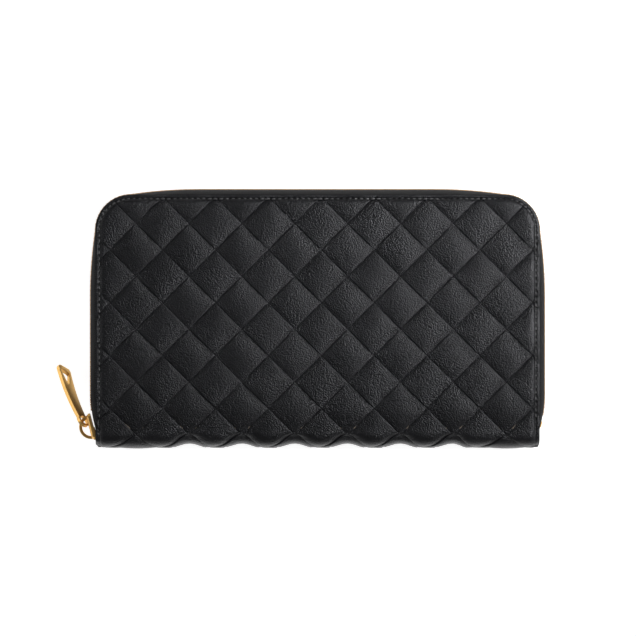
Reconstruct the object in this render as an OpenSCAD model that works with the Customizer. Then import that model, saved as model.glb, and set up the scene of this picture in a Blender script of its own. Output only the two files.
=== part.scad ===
// Zip around wallet, lying on its back cover. Millimetres, +Z up.
// X runs along the spine, +Y runs from the spine to the zipped edge opposite it.
// The origin is the centre of the back cover's outer face.

/* [Covers] */
// Width of a cover along the spine
cover_w = 187; // [180:1:200]
// Height of the closed wallet, from the outside of the spine to the far edge of a cover
cover_h = 107; // [104:1:112]
// Overall thickness of the closed wallet
depth = 25; // [25:1:30]
// Radius of the two rounded corners of a cover
corner_r = 15; // [12:1:18]
// Thickness of the woven leather, two strips deep
woven_t = 1.8; // [1.4:0.1:1.8]
// How much of its thickness a cover loses at its skived edge
rim_h = 1.5; // [1:0.1:1.5]
// Width of that skived edge
rim_w = 4.2; // [4:0.2:5]

/* [Spine] */
// How far the spine bulges behind the fold lines
spine_bulge = 8.5; // [7:0.5:10]

/* [Main zip] */
// How far the middle of a zipped side stands outside the covers, at the teeth's centre
zip_proud = 1.7; // [1.5:0.1:2.2]
// Distance from one tooth to the next in a row
tooth_pitch = 2; // [1.8:0.1:2.4]
// Length of the slider
slider_l = 11.4; // [10:0.2:12]
// Length of the pull tab from the centre of its eye to its end
pull_l = 26; // [20:0.5:27]

/* [Inside] */
// Card tiers on each cover, two card slots to a tier
tiers = 3; // [1:1:3]
// How much of each tier shows above the one before it
tier_step = 12; // [10:1:14]
// Height of the coin pouch above the fold lines
pouch_h = 71; // [60:1:72]

/* [Hidden] */

// Colours of the leathers, the metal and the thread
LEATHER = [0.10, 0.10, 0.105];
LINING = [0.13, 0.13, 0.135];
CLOTH = [0.07, 0.07, 0.08];
GOLD = [0.83, 0.62, 0.27];
THREAD = [0.16, 0.16, 0.17];
BOARD = [0.35, 0.30, 0.25];

// Clearance between two pieces that lie on each other
lay_gap = 0.05;
mid_z = depth / 2;
half_w = cover_w / 2;
far_y = cover_h / 2;
// The fold lines, where a cover ends and the spine begins
fold_y = -cover_h / 2 + spine_bulge;
fold_gap = 0.3;
near_y = fold_y + fold_gap / 2;
corner_x = half_w - corner_r;
corner_y = far_y - corner_r;
side_l = corner_y - near_y;
arc_l = corner_r * PI / 2;
edge_l = 2 * side_l + 2 * arc_l + 2 * corner_x;

// ---- The covers' edge, as a path from the left fold to the right fold ----

// Each answer is [x, y, outward angle] at a distance s along the edge
function edge_at(s) =
    s > edge_l / 2 ? mirrored(left_edge_at(edge_l - s)) : left_edge_at(s);
function mirrored(p) = [-p[0], p[1], 180 - p[2]];
function left_edge_at(s) =
    s < side_l ? [-half_w, near_y + s, 180] :
    s < side_l + arc_l ? corner_point(180 - (s - side_l) / corner_r * 180 / PI) :
    [-corner_x + s - side_l - arc_l, far_y, 90];
function corner_point(a) = [-corner_x + corner_r * cos(a), corner_y + corner_r * sin(a), a];

// The zip stands out along the straight sides, falls back before a corner and turns in at a fold
corner_fall_l = 28.5;
corner_fall_r = 193;
fold_fall_l = 14;
fold_fall_r = 49;
function fall(d, r) = d > 0 ? d * d / (2 * r) : 0;
function bow_at(s) = let (h = min(s, edge_l - s), far = h - side_l - arc_l)
    zip_proud - fall(fold_fall_l - h, fold_fall_r)
    - fall(corner_fall_l - max(side_l - h, far, 0), corner_fall_r);
// How far the zip's own direction turns from the edge's, from the slope of the bow
function bow_turn(s) = atan(bow_at(s + 0.5) - bow_at(s - 0.5));

function out_from(p, n, z) = [p[0] + n * cos(p[2]), p[1] + n * sin(p[2]), z];

// Stations along the edge, closer together round the corners
side_steps = 9;
arc_steps = 7;
far_steps = 14;
stations = concat(
    [for (i = [0:side_steps - 1]) side_l * i / side_steps],
    [for (i = [0:arc_steps - 1]) side_l + arc_l * i / arc_steps],
    [for (i = [0:far_steps]) side_l + arc_l + 2 * corner_x * i / far_steps],
    [for (i = [1:arc_steps]) edge_l - side_l - arc_l + arc_l * i / arc_steps],
    [for (i = [1:side_steps]) edge_l - side_l + side_l * i / side_steps]
);

// Rise of a cover's outer face at a distance d in from its edge
function rise(d) = d < rim_w ? rim_h * pow(1 - d / rim_w, 2) : 0;
// Where a skived edge is sampled, as shares of its width
rim_steps = [0.33, 0.67, 1];

// ---- Solids built from rings of points ----

// Triangles between two neighbouring rings, from their first points' numbers
function band(a, b, n) = [
    for (i = [0:n - 1]) let (j = (i + 1) % n) each [[a + i, b + i, b + j], [a + i, b + j, a + j]]
];

// A closed solid through rings of the same number of points
module ring_solid(rings) {
    n = len(rings[0]);
    last = len(rings) - 1;
    polyhedron(
        points = [for (r = rings) each r],
        faces = concat(
            [[for (i = [0:n - 1]) i]],
            [for (k = [0:last - 1]) each band(k * n, (k + 1) * n, n)],
            [[for (i = [n - 1:-1:0]) last * n + i]]
        )
    );
}

// A strip that follows the edge: profile(s) gives its closed outline as [out, z] points
module tape_solid(profiles) {
    ring_solid([
        for (k = [0:len(stations) - 1])
            [for (q = profiles[k]) out_from(edge_at(stations[k]), q[0], q[1])]
    ]);
}

// Outline of a cover, drawn in by d on its three zipped sides
function cover_loop(d, z) = [for (s = stations) out_from(edge_at(s), -d, z)];

// A flat layer in the outline of a cover, drawn in by inset on the three zipped sides
module layer(inset, z, t) {
    translate([0, 0, z])
    linear_extrude(t)
    polygon([for (p = cover_loop(inset, 0)) [p[0], p[1]]]);
}

// The same piece on the front cover
module front() { translate([0, 0, depth]) mirror([0, 0, 1]) children(); }

// A flat sheet
module sheet(x0, x1, y0, y1, z, t) { translate([x0, y0, z]) cube([x1 - x0, y1 - y0, t]); }

// ---- A cover's layers, drawn for the back cover ----

board_t = 0.8;
lining_t = 0.6;
card_t = 0.5;
lining_z = woven_t + lay_gap + board_t + lay_gap;
slip_z = lining_z + lining_t + lay_gap;
tier_z = slip_z + card_t;
tier_half_w = half_w - 6.1;
// Height of one card slot, and the far edge of the lowest tier
slot_h = 50;
low_tier_y = 4;
slip_y = low_tier_y + tiers * tier_step + 2;

// The woven leather, flat inside, with its outer face rolled over to the skived edge
module woven_panel() {
    color(LEATHER)
    ring_solid(concat(
        [cover_loop(0, woven_t), cover_loop(0, rise(0))],
        [for (d = rim_w * rim_steps) cover_loop(d, rise(d))]
    ));
}

module stiffener() { color(BOARD) layer(rim_w + 0.3, woven_t + lay_gap, board_t); }

lining_inset = 1.2;
module lining() { color(LINING) layer(lining_inset, lining_z, lining_t); }

module card_sheet(y0, y1, z) { color(LINING) sheet(-tier_half_w, tier_half_w, y0, y1, z, card_t); }

module slip_pocket() { card_sheet(near_y + 3, slip_y, slip_z); }

// Tier 0 is the one nearest the cover, with the highest far edge
module card_tier(i) {
    y1 = low_tier_y + (tiers - 1 - i) * tier_step;
    card_sheet(max(y1 - slot_h, near_y + 3), y1, tier_z + i * card_t);
}

// The seam that parts the two columns of cards, one run of thread on each tier
stitch_l = 1.9;
stitch_pitch = 2.45;
thread_t = 0.4;
module card_stitching() {
    for (i = [0:tiers - 1]) {
        y1 = low_tier_y + (tiers - 1 - i) * tier_step - 1.5;
        y0 = i == tiers - 1 ? max(y1 - slot_h, near_y + 5) : y1 - tier_step + 3;
        top = tier_z + (i + 1) * card_t;
        color(THREAD)
        for (y = [y0:stitch_pitch:y1 - stitch_l])
            translate([-thread_t / 2, y, top]) cube([thread_t, stitch_l, thread_t / 2]);
    }
}

// Stitches round the cover, one beside the other, lying on the skived edge
seam_in = 1.7;
seam_slope = atan(2 * rim_h / rim_w * (1 - seam_in / rim_w));
module edge_stitching() {
    count = floor((edge_l - 4) / stitch_pitch);
    for (i = [0:count - 1]) {
        s = 2 + (i + 0.5) * (edge_l - 4) / count;
        p = edge_at(s);
        color(THREAD)
        translate(out_from(p, -seam_in, rise(seam_in) - thread_t / 2))
        rotate([0, 0, p[2]])
        rotate([0, -seam_slope, 0])
        translate([0, 0, -0.08])
        cube([thread_t, stitch_l, thread_t * 0.7], center = true);
    }
}

// ---- The main zip ----

tape_t = 0.5;
tape_z = woven_t + lay_gap;
chain_half_w = 2.3;
tooth_t = 1.8;
tooth_w = 0.84;
nib_l = 0.5;
tape_edge_z = mid_z - chain_half_w - lay_gap;

// Side of the tape from its sewn margin to the teeth, off its middle by half its thickness
tape_margin = 2.8;
function tape_side(s, half) = let (start = tape_z + tape_t / 2)
    concat(
        [[-tape_margin, start - half]],
        [for (t = [0, 0.25, 0.5, 0.75, 1])
            [bow_at(s) * sin(90 * min(1, 1.3 * t)) + half * min(1, 3 * t),
             start + (tape_edge_z - start) * t - half * max(0, 1 - 3 * t)]]
    );
function tape_profile(s) = let (back = tape_side(s, -tape_t / 2), n = len(back))
    concat(tape_side(s, tape_t / 2), [for (i = [n - 1:-1:0]) back[i]]);

module zip_tape() { color(CLOTH) tape_solid([for (s = stations) tape_profile(s)]); }

// One tooth, its root towards -Z and its nib past the middle line
module tooth(root, nib, w, t) {
    rotate([90, 0, 90])
    linear_extrude(t, center = true)
    polygon([
        [-w / 2, -root], [w / 2, -root], [w / 2, -root / 4], [w * 0.36, 0], [w * 0.36, nib],
        [-w * 0.36, nib], [-w * 0.36, 0], [-w / 2, -root / 4]
    ]);
}

// The slider rests at the left fold and its chain starts behind it
slider_y = fold_y + 1.2;
chain_s0 = slider_y + slider_l / 2 + 1.2 - near_y;
stop_l = 2.6;
chain_s1 = edge_l - stop_l - 1.6;
module zip_teeth(offset) {
    count = floor((chain_s1 - chain_s0) / tooth_pitch);
    for (i = [0:count - 1]) {
        s = chain_s0 + (i + offset) * tooth_pitch;
        p = edge_at(s);
        color(GOLD)
        translate(out_from(p, bow_at(s), mid_z))
        rotate([0, 0, p[2] + bow_turn(s)])
        tooth(chain_half_w, nib_l, tooth_w, tooth_t);
    }
}

// A clip on the tape's edge at the right fold, where the slider stops when the zip is open
module zip_stop() {
    s = edge_l - stop_l / 2 - 0.4;
    p = edge_at(s);
    color(GOLD)
    translate(out_from(p, bow_at(s), mid_z))
    rotate([0, 0, p[2] + bow_turn(s)])
    translate([-tooth_t / 2, -stop_l / 2, -chain_half_w])
    cube([tooth_t, stop_l, chain_half_w - 0.2]);
}

// ---- A slider with its bridge and pull, in its own frame ----
// +X runs along the closed chain, +Y outwards, Z across the chain, and the origin is in the chain

// Outline of a wing in X and Z: rounded, and wider at the open end
module wing(l, w, tail_w, y0, t) {
    translate([0, y0 + t, 0])
    rotate([90, 0, 0])
    linear_extrude(t)
    polygon([
        [l / 2, -tail_w / 2 + 1], [l / 2, tail_w / 2 - 1], [l / 2 - 1, tail_w / 2], [0, tail_w / 2],
        [-l / 4, w / 2], [-l / 2 + 1.5, w / 2], [-l / 2, w / 2 - 1.5],
        [-l / 2, -w / 2 + 1.5], [-l / 2 + 1.5, -w / 2], [-l / 4, -w / 2], [0, -tail_w / 2],
        [l / 2 - 1, -tail_w / 2]
    ]);
}

// Clearance between the teeth and a wing
plate_gap = 0.25;

// Two wings joined by a wedge at the open end, with flanges that hold the teeth in
module slider_body(l, w, inner_w, chain_t, plate, rim, chain_w, wedge_w) {
    room = chain_t / 2 + plate_gap;
    color(GOLD)
    union() {
        wing(l, w, w - 1.4, room, plate);
        wing(l, inner_w, min(inner_w, w - 1.4), -room - plate, plate);
        if (rim > 0)
            for (side = [-1, 1], out = [-1, 1])
                translate([
                    -l / 4, out * (room - rim / 2 + 0.01),
                    side * (chain_w + 0.25 + (w - 1.4 - 2 * chain_w - 0.5) / 4)
                ])
                cube([l * 0.44, rim, (w - 1.4 - 2 * chain_w - 0.5) / 2], center = true);
        translate([-l / 2 + 0.6, room, 0])
        rotate([90, 0, 0])
        linear_extrude(2 * room)
        polygon([[0, -wedge_w / 2], [l * 0.16, -wedge_w / 2], [l * 0.3, 0], [l * 0.16, wedge_w / 2], [0, wedge_w / 2]]);
    }
}

// A half ring that stands on the outer wing
module bridge(r, bar, w, y0) {
    color(GOLD)
    translate([0, y0, 0])
    rotate_extrude(angle = 180, $fn = 72)
    translate([r - bar / 2, -w / 2])
    square([bar, w]);
}

// A bent, tapering tab: eye at the origin, tip towards +X, bent towards -Y. Its end is cut at a
// slant, which makes it shorter by slant on its -Z side.
module tab(l, tip_w, neck_w, t, eye_r, hole_r, bend_r, window_l, slant = 0) {
    turn = l / bend_r * 180 / PI;
    back_turn = (eye_r + 1) / bend_r * 180 / PI;
    tip_x = bend_r * sin(turn);
    color(GOLD)
    difference() {
        intersection() {
            translate([0, -bend_r, 0])
            rotate([0, 0, 90 - turn])
            rotate_extrude(angle = turn + back_turn, $fn = 180)
            translate([bend_r - t / 2, -tip_w / 2 - 1])
            square([t, tip_w + 2]);
            translate([0, eye_r, 0])
            rotate([90, 0, 0])
            linear_extrude(2 * eye_r + l)
            union() {
                circle(r = eye_r, $fn = 48);
                polygon([
                    [0, -neck_w / 2], [tip_x - slant - 0.8, -tip_w / 2],
                    [tip_x - slant * 0.84, -tip_w / 2 + 0.8], [tip_x, tip_w / 2 - 0.8],
                    [tip_x - 0.8, tip_w / 2], [0, neck_w / 2]
                ]);
            }
        }
        rotate([90, 0, 0]) cylinder(r = hole_r, h = 4 * eye_r + l, center = true, $fn = 48);
        translate([0, eye_r + 1, 0])
        rotate([90, 0, 0])
        linear_extrude(2 * eye_r + l)
        tab_window(tip_x - t, tip_w, window_l, slant);
    }
}

// A tapering window near the tip, wide towards it and slanted like the tab's end
module tab_window(x, tip_w, l, slant) {
    half = tip_w / 2 - 1.15;
    low_x = x - slant * (0.5 + half / tip_w);
    high_x = x - slant * (0.5 - half / tip_w);
    polygon([
        [low_x, -half + 0.6], [high_x, half - 0.6], [high_x - 0.6, half],
        [x - slant / 2 - l, 0.35], [x - slant / 2 - l, -0.35], [low_x - 0.6, -half]
    ]);
}

// The bridge's middle radius, and where the centre of the pull's eye lies beside it
bridge_bar = 1.3;
bridge_r = 4.5;
bridge_w = 1.7;
plate_t = 0.9;
bridge_y = tooth_t / 2 + plate_gap + plate_t;
eye_angle = 38;
eye_in = 0.2;
// The pull at rest: how far it stands out, how it rolls and how far its tip hangs
pull_lift = 15;
pull_roll = -28;
pull_droop = 19;

// Places a piece from the slider's frame onto the main zip, at rest by the left fold
slider_s = slider_y - near_y;
module on_zip() {
    p = edge_at(slider_s);
    translate(out_from(p, bow_at(slider_s), mid_z))
    rotate([0, 0, p[2] + bow_turn(slider_s) - 90])
    children();
}

module zip_slider_body() {
    on_zip() slider_body(slider_l, 8.6, 8.2, tooth_t, plate_t, 0.3, chain_half_w, 1.9);
}
module zip_slider_bridge() { on_zip() bridge(bridge_r, bridge_bar, bridge_w, bridge_y); }
module zip_pull_tab() {
    on_zip()
    translate([0, bridge_y, 0])
    rotate([0, 0, eye_angle])
    translate([bridge_r - eye_in, 0, 0])
    rotate([0, 0, pull_lift - eye_angle])
    rotate([pull_roll, pull_droop, 0])
    tab(pull_l, 7.4, 4.3, 1.5, 3, 2.1, 78, 5.8, 2.6);
}

// ---- The coin pouch, which hangs from the middle of the spine ----

pouch_half_w = 88;
wall_t = 0.6;
pouch_half_t = 2.8;
pouch_y0 = fold_y - 5.65;
pouch_y1 = fold_y + pouch_h;
band_w = 2;

module coin_wall() {
    color(LINING) sheet(-pouch_half_w, pouch_half_w, pouch_y0, pouch_y1, mid_z - pouch_half_t, wall_t);
}

// The sewn edge between the two walls, along both sides and the foot of the pouch
module coin_seam_band() {
    z0 = mid_z - pouch_half_t + wall_t + 0.02;
    t = 2 * (mid_z - z0);
    color(LINING)
    translate([0, 0, z0])
    linear_extrude(t)
    polygon([
        [-pouch_half_w, pouch_y1], [-pouch_half_w, pouch_y0], [pouch_half_w, pouch_y0],
        [pouch_half_w, pouch_y1], [pouch_half_w - band_w, pouch_y1],
        [pouch_half_w - band_w, pouch_y0 + band_w], [-pouch_half_w + band_w, pouch_y0 + band_w],
        [-pouch_half_w + band_w, pouch_y1]
    ]);
}

coin_y = pouch_y1 + lay_gap + tape_t / 2;
coin_chain_half_w = 1.45;
coin_tooth_t = 1.4;
coin_pitch = 1.8;
coin_slider_l = 8;
coin_end_x = pouch_half_w - 10;
coin_slider_x = -coin_end_x + coin_slider_l / 2;
coin_chain_x0 = coin_slider_x + coin_slider_l / 2 + 0.8;

module coin_tape() {
    z0 = mid_z - pouch_half_t;
    color(CLOTH)
    sheet(
        -pouch_half_w + 0.5, pouch_half_w - 0.5, coin_y - tape_t / 2, coin_y + tape_t / 2,
        z0, pouch_half_t - coin_chain_half_w - lay_gap
    );
}

module coin_teeth(offset) {
    count = floor((coin_end_x - 3 - coin_chain_x0) / coin_pitch);
    color(GOLD)
    for (i = [0:count - 1])
        translate([coin_chain_x0 + (i + offset) * coin_pitch, coin_y, mid_z])
        rotate([0, 0, 90])
        tooth(coin_chain_half_w, 0.4, 0.74, coin_tooth_t);
}

// The clip across both rows at the end where the coin zip opens to
module coin_zip_stop() {
    color(GOLD)
    translate([coin_end_x - 0.6, coin_y - coin_tooth_t / 2, mid_z - coin_chain_half_w])
    cube([2, coin_tooth_t, 2 * coin_chain_half_w]);
}

coin_plate = 0.7;
coin_bridge_r = 2.9;
coin_bridge_y = coin_tooth_t / 2 + plate_gap + coin_plate;
module on_coin_zip() { translate([coin_slider_x, coin_y, mid_z]) children(); }
module coin_slider_body() {
    on_coin_zip() slider_body(coin_slider_l, 5.8, 4, coin_tooth_t, coin_plate, 0, coin_chain_half_w, 1.3);
}
module coin_slider_bridge() { on_coin_zip() bridge(coin_bridge_r, 0.9, 1.3, coin_bridge_y); }
module coin_pull_tab() {
    on_coin_zip()
    translate([0, coin_bridge_y, 0])
    rotate([0, 0, eye_angle])
    translate([coin_bridge_r, 0, 0])
    rotate([0, 0, -6])
    tab(15, 4.6, 3, 1.1, 2, 1.25, 60, 3.6);
}

// ---- The spine ----

// Half a rounded square about the fold lines, as [y, z] points
spine_power = 2.7;
function eased(x) = sign(x) * pow(abs(x), 2 / spine_power);
function spine_arc(a, b) = [
    for (t = [-90:6:90]) [fold_y - fold_gap / 2 - a * eased(cos(t)), mid_z + b * eased(sin(t))]
];
module spine_shell(a, b, t) {
    inner = spine_arc(a - t, b - t);
    rotate([90, 0, 90])
    translate([0, 0, -half_w + 0.3])
    linear_extrude(cover_w - 0.6)
    polygon(concat(spine_arc(a, b), [for (i = [len(inner) - 1:-1:0]) inner[i]]));
}
module spine_woven_panel() { color(LEATHER) spine_shell(spine_bulge - fold_gap / 2, mid_z, woven_t); }
module spine_lining() {
    color(LINING) spine_shell(spine_bulge - fold_gap / 2 - woven_t - lay_gap, mid_z - lining_z, lining_t);
}

// ---- Gussets: a folded leaf between a cover and the pouch, drawn for the back, on the right ----

gusset_y1 = 16;
gusset_fold_x = 77;
module gusset() {
    root = lining_z + lining_t + lay_gap;
    z0 = root + 1.75;
    z1 = mid_z - pouch_half_t - lay_gap;
    zf = (z0 + z1) / 2 - 0.2;
    color(LINING)
    translate([0, gusset_y1, 0])
    rotate([90, 0, 0])
    linear_extrude(gusset_y1 - near_y - 1)
    polygon([
        [half_w - 2, root], [half_w - 2.6, root], [half_w - 2.6, z0], [gusset_fold_x, zf],
        [pouch_half_w, z1], [pouch_half_w, z1 - 0.6], [gusset_fold_x + 2, zf], [half_w - 2, z0 + 0.6]
    ]);
}

// ---- The nodes ----

woven_panel();  // back_woven_panel
stiffener();  // back_stiffener
lining();  // back_lining
slip_pocket();  // back_slip_pocket
card_tier(0);  // back_card_tier_top
card_tier(1);  // back_card_tier_middle
card_tier(2);  // back_card_tier_low
card_stitching();  // back_card_stitching
edge_stitching();  // back_edge_stitching
zip_tape();  // back_zip_tape
zip_teeth(0);  // back_zip_teeth
zip_stop();  // back_zip_stop
mirror([1, 0, 0]) gusset();  // back_gusset_left
gusset();  // back_gusset_right
front() woven_panel();  // front_woven_panel
front() stiffener();  // front_stiffener
front() lining();  // front_lining
front() slip_pocket();  // front_slip_pocket
front() card_tier(0);  // front_card_tier_top
front() card_tier(1);  // front_card_tier_middle
front() card_tier(2);  // front_card_tier_low
front() card_stitching();  // front_card_stitching
front() edge_stitching();  // front_edge_stitching
front() zip_tape();  // front_zip_tape
front() zip_teeth(0.5);  // front_zip_teeth
front() zip_stop();  // front_zip_stop
front() mirror([1, 0, 0]) gusset();  // front_gusset_left
front() gusset();  // front_gusset_right
spine_woven_panel();
spine_lining();
coin_wall();  // coin_wall_back
front() coin_wall();  // coin_wall_front
coin_seam_band();
coin_tape();  // coin_tape_back
front() coin_tape();  // coin_tape_front
coin_teeth(0);  // coin_teeth_back
front() coin_teeth(0.5);  // coin_teeth_front
coin_zip_stop();
coin_slider_body();
coin_slider_bridge();
coin_pull_tab();
zip_slider_body();
zip_slider_bridge();
zip_pull_tab();
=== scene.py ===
"""The looks of the zip around wallet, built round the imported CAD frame. Metres, +Z up."""
import math

import bpy
import numpy as np
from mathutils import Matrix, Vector


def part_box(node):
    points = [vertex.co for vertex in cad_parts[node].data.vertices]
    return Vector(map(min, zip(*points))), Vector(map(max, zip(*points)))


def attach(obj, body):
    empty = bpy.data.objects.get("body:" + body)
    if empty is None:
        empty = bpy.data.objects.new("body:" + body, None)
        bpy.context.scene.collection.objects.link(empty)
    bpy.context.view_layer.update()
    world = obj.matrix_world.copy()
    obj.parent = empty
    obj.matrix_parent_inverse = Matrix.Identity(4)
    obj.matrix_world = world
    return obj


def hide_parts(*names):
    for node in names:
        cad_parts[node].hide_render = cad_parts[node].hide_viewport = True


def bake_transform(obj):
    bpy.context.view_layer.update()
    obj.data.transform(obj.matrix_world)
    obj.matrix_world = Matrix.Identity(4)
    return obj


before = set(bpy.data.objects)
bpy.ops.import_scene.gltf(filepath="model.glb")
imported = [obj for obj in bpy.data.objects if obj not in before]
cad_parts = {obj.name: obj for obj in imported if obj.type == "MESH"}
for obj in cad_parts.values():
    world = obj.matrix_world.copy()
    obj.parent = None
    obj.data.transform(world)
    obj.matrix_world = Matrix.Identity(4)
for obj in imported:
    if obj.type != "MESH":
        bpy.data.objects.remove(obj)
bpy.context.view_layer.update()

MM = 0.001
SIDES = ("front", "back")

# ---- Sizes from the frame, and the wallet's own ----

panel_low, panel_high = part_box("front_woven_panel")
HALF_W = panel_high.x
FAR_Y = panel_high.y
DEPTH = panel_high.z
MID_Z = DEPTH / 2
POUCH_H = 71 * MM
FOLD_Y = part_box("coin_wall_front")[1].y - POUCH_H
NEAR_Y = panel_low.y
BULGE = FOLD_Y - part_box("spine_woven_panel")[0].y
WOVEN_T = 1.8 * MM
CORNER_R = 15 * MM
# The skin rolls over by RIM_H at the zipped edge, and by SHOULDER_DROP at the fold
RIM_W = 3.6 * MM
RIM_H = 0.75 * MM
SHOULDER_L = 14 * MM
SHOULDER_DROP = 0.9 * MM
SHOULDER_FADE = 9 * MM
# The edge seam: how far in it runs, the groove that it lies in and its stitches
SEAM_IN = 1.7 * MM
SEAM_GROOVE = 0.22 * MM
GROOVE_HALF_W = 0.7 * MM
STITCH_PITCH = 2.45 * MM

# ---- The covers' and the spine's outer skin, unrolled to u along the spine and v across it ----

SPINE_POWER = 2.7
PROFILE_STEPS = 2000


def spine_quarter():
    """The spine's section from the front fold to its middle: arc length, y and z."""
    t = np.linspace(math.pi / 2, 0, PROFILE_STEPS)
    y = FOLD_Y - BULGE * np.maximum(np.cos(t), 0) ** (2 / SPINE_POWER)
    z = MID_Z + MID_Z * np.maximum(np.sin(t), 0) ** (2 / SPINE_POWER)
    run = np.concatenate([[0], np.cumsum(np.hypot(np.diff(y), np.diff(z)))])
    return run, y, z


ARC_RUN, ARC_Y, ARC_Z = spine_quarter()
V_MID = FOLD_Y - ARC_RUN[-1]


def inset(u, v):
    """Distance in from the zipped edge."""
    qx = np.abs(u) - (HALF_W - CORNER_R)
    qy = v - (FAR_Y - CORNER_R)
    outside = np.hypot(np.maximum(qx, 0), np.maximum(qy, 0))
    return CORNER_R - outside - np.minimum(np.maximum(qx, qy), 0)


def rise(d):
    """How far the rim turns in at a distance d from the edge."""
    return RIM_H * np.clip(1 - d / RIM_W, 0, 1) ** 2


def smooth(x):
    """A soft step from 0 at x = 0 to 1 at x = 1."""
    x = np.clip(x, 0, 1)
    return x * x * (3 - 2 * x)


# The strips of the weave: their pitch square to their length, and the centre of one crossing
STRIP_PITCH = 15.7 * MM
LATTICE_U = 12.55 * MM
LATTICE_V = 30.2 * MM
WEAVE_DIAGONAL = STRIP_PITCH * math.sqrt(2)
# The spine's outline between the crossings
SCALLOP = 2.1 * MM
SCALLOP_POWER = 1.6
SCALLOP_HALF_L = 66 * MM
SCALLOP_FADE = 8 * MM
SCALLOP_START = FOLD_Y - 1.5 * MM
SCALLOP_RUN_IN = 4 * MM


def scallop(u, v):
    """How far the spine is pressed in between the strips that cross on its bulge."""
    wave = 0.5 + 0.5 * np.cos(2 * math.pi * (u - LATTICE_U) / WEAVE_DIAGONAL)
    ends = smooth((SCALLOP_HALF_L - np.abs(u)) / SCALLOP_FADE)
    return SCALLOP * wave**SCALLOP_POWER * ends * smooth((SCALLOP_START - v) / SCALLOP_RUN_IN)


def shoulder(v):
    """How far the cover rolls down towards the fold, and back to the spine's bulge beyond it."""
    towards = np.clip(1 - (v - FOLD_Y) / SHOULDER_L, 0, 1) ** 2
    beyond = 1 - smooth((FOLD_Y - v) / SHOULDER_FADE)
    return SHOULDER_DROP * np.where(v > FOLD_Y, towards, beyond)


def skin_base(u, v):
    """A point of the outer skin of the front half, from the far edge to the middle of the spine."""
    run = np.maximum(FOLD_Y - v, 0)
    y = np.where(v > FOLD_Y, v, np.interp(run, ARC_RUN, ARC_Y))
    z = np.interp(run, ARC_RUN, ARC_Z)
    step = 0.05 * MM
    dy = np.interp(run + step, ARC_RUN, ARC_Y) - np.interp(run - step, ARC_RUN, ARC_Y)
    dz = np.interp(run + step, ARC_RUN, ARC_Z) - np.interp(run - step, ARC_RUN, ARC_Z)
    length = np.maximum(np.hypot(dy, dz), 1e-9)
    flat = v > FOLD_Y
    ny = np.where(flat, 0, dz / length)
    nz = np.where(flat, 1, -dy / length)
    d = inset(u, v)
    groove = SEAM_GROOVE * np.exp(-(((d - SEAM_IN) / GROOVE_HALF_W) ** 2))
    drop = rise(d) + scallop(u, v) + shoulder(v) + groove
    return np.stack([u, y - ny * drop, z - nz * drop], -1)


def skin_point(u, v, h):
    """A point h above the outer skin, on the front half."""
    e = 0.1 * MM
    base = skin_base(u, v)
    du = skin_base(u + e, v) - skin_base(u - e, v)
    dv = skin_base(u, v + e) - skin_base(u, v - e)
    normal = np.cross(du, dv)
    normal /= np.maximum(np.linalg.norm(normal, axis=-1, keepdims=True), 1e-12)
    return base + normal * h[..., None]


def to_side(points, side, made_for="front"):
    """Mirrors points made for one half onto the other, unless side is the half they're for."""
    if side != made_for:
        points = points * [1, 1, -1] + [0, 0, DEPTH]
    return points


# ---- Mesh helpers ----


def make_object(name, verts, faces, material, smooth_angle=40, mirror=False):
    """A mesh object that is smooth up to an angle in degrees. Mirror turns its faces over."""
    if mirror:
        faces = [tuple(reversed(f)) for f in faces]
    mesh = bpy.data.meshes.new(name)
    mesh.from_pydata([tuple(map(float, p)) for p in verts], [], faces)
    mesh.validate()
    mesh.update()
    obj = bpy.data.objects.new(name, mesh)
    bpy.context.scene.collection.objects.link(obj)
    mesh.materials.append(material)
    mesh.shade_smooth()
    mesh.set_sharp_from_angle(angle=math.radians(smooth_angle))
    return obj


def sweep(rings, closed=False):
    """Vertices and faces of a tube through rings of points, an array of (rings, points, 3)."""
    count, width, _ = rings.shape
    verts = rings.reshape(-1, 3)
    faces = []
    for k in range(count if closed else count - 1):
        a, b = k * width, (k + 1) % count * width
        for i in range(width):
            j = (i + 1) % width
            faces.append((a + i, a + j, b + j, b + i))
    if not closed:
        faces.append(tuple(range(width - 1, -1, -1)))
        faces.append(tuple((count - 1) * width + i for i in range(width)))
    return verts, faces


def line_normals(line):
    """Unit normals of a line of 2-D points, to the right of its way."""
    slope = np.gradient(line, axis=0)
    slope /= np.linalg.norm(slope, axis=1, keepdims=True)
    return np.stack([slope[:, 1], -slope[:, 0]], -1)


def thicken(line, half):
    """The closed ring of 2-D points that lies half a thickness to each side of a line."""
    side = line_normals(line) * half
    return np.concatenate([line + side, (line - side)[::-1]])


def join_parts(parts):
    """One list of vertices and faces from many."""
    verts, faces, base = [], [], 0
    for part_verts, part_faces in parts:
        verts.append(np.asarray(part_verts))
        faces.extend(tuple(i + base for i in f) for f in part_faces)
        base += len(part_verts)
    return np.concatenate(verts), faces


# ---- Materials ----


def new_material(name):
    """A material with only a Principled shader, as (material, node tree, shader)."""
    material = bpy.data.materials.new(name)
    material.use_nodes = True
    nodes = material.node_tree.nodes
    nodes.clear()
    out = nodes.new("ShaderNodeOutputMaterial")
    shader = nodes.new("ShaderNodeBsdfPrincipled")
    material.node_tree.links.new(shader.outputs[0], out.inputs[0])
    return material, material.node_tree, shader


def add_node(tree, kind, inputs=(), **settings):
    """A node with its settings, and its inputs as (name, value) or, for a link, (name, socket)."""
    node = tree.nodes.new(kind)
    for key, value in settings.items():
        setattr(node, key, value)
    for key, value in inputs:
        if isinstance(value, bpy.types.NodeSocket):
            tree.links.new(value, node.inputs[key])
        else:
            node.inputs[key].default_value = value
    return node


def math_node(tree, operation, *values):
    """The result of a Math node, from values or sockets."""
    node = add_node(tree, "ShaderNodeMath", enumerate(values), operation=operation)
    return node.outputs[0]


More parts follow.
